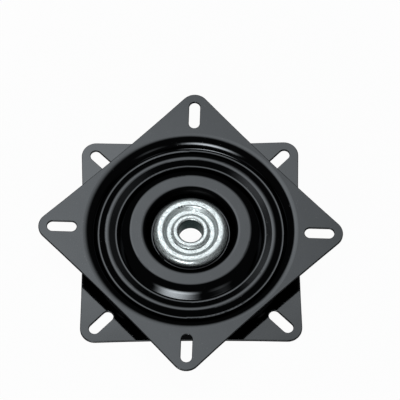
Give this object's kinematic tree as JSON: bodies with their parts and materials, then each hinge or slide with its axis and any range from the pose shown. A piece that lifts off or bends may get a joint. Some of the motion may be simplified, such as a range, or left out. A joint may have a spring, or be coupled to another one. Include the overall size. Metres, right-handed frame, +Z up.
{
  "type": "turntable bearing",
  "caption": "Square swivel plate bearing: two black pressed steel plates with ringed dishes and slotted corners, turning on caged balls about a zinc-plated centre with a through bore.",
  "frame": {"origin": "on the swivel axis, at the underside of the lower plate", "axes": "+Z up along the swivel axis, X and Y along the diagonals of the lower plate, through its bolt slots"},
  "size_m": [0.2434, 0.2434, 0.0236],
  "materials": {
    "black_coat": "gloss black coat on pressed steel",
    "zinc_plate": "bright zinc plate",
    "bright_steel": "polished bearing steel",
    "nylon": "natural moulded nylon"
  },
  "bodies": {
    "base": {"lower_plate": "black_coat", "tubular_rivet": "zinc_plate", "spacer_sleeve": "zinc_plate", "hub_cap": "zinc_plate"},
    "swivel": {"upper_plate": "black_coat"},
    "main_row": {"main_cage": "nylon", "main_ball_01": "bright_steel", "main_ball_02": "bright_steel", "main_ball_03": "bright_steel", "main_ball_04": "bright_steel", "main_ball_05": "bright_steel", "main_ball_06": "bright_steel", "main_ball_07": "bright_steel", "main_ball_08": "bright_steel", "main_ball_09": "bright_steel", "main_ball_10": "bright_steel", "main_ball_11": "bright_steel", "main_ball_12": "bright_steel", "main_ball_13": "bright_steel", "main_ball_14": "bright_steel", "main_ball_15": "bright_steel", "main_ball_16": "bright_steel"},
    "small_row": {"small_cage": "bright_steel", "small_ball_01": "bright_steel", "small_ball_02": "bright_steel", "small_ball_03": "bright_steel", "small_ball_04": "bright_steel", "small_ball_05": "bright_steel", "small_ball_06": "bright_steel", "small_ball_07": "bright_steel", "small_ball_08": "bright_steel", "small_ball_09": "bright_steel", "small_ball_10": "bright_steel"}
  },
  "joints": [
    {"name": "plate_swivel", "type": "hinge", "parent": "base", "child": "swivel", "pos_m": [0, 0, 0], "axis": [0, 0, 1], "continuous": true},
    {"name": "main_row_orbit", "type": "hinge", "parent": "base", "child": "main_row", "pos_m": [0, 0, 0], "axis": [0, 0, 1], "continuous": true},
    {"name": "small_row_orbit", "type": "hinge", "parent": "base", "child": "small_row", "pos_m": [0, 0, 0], "axis": [0, 0, 1], "continuous": true}
  ],
  "couplings": [
    {"joint": "main_row_orbit", "follows": "plate_swivel", "ratio": 0.5},
    {"joint": "small_row_orbit", "follows": "plate_swivel", "ratio": 0.5}
  ]
}
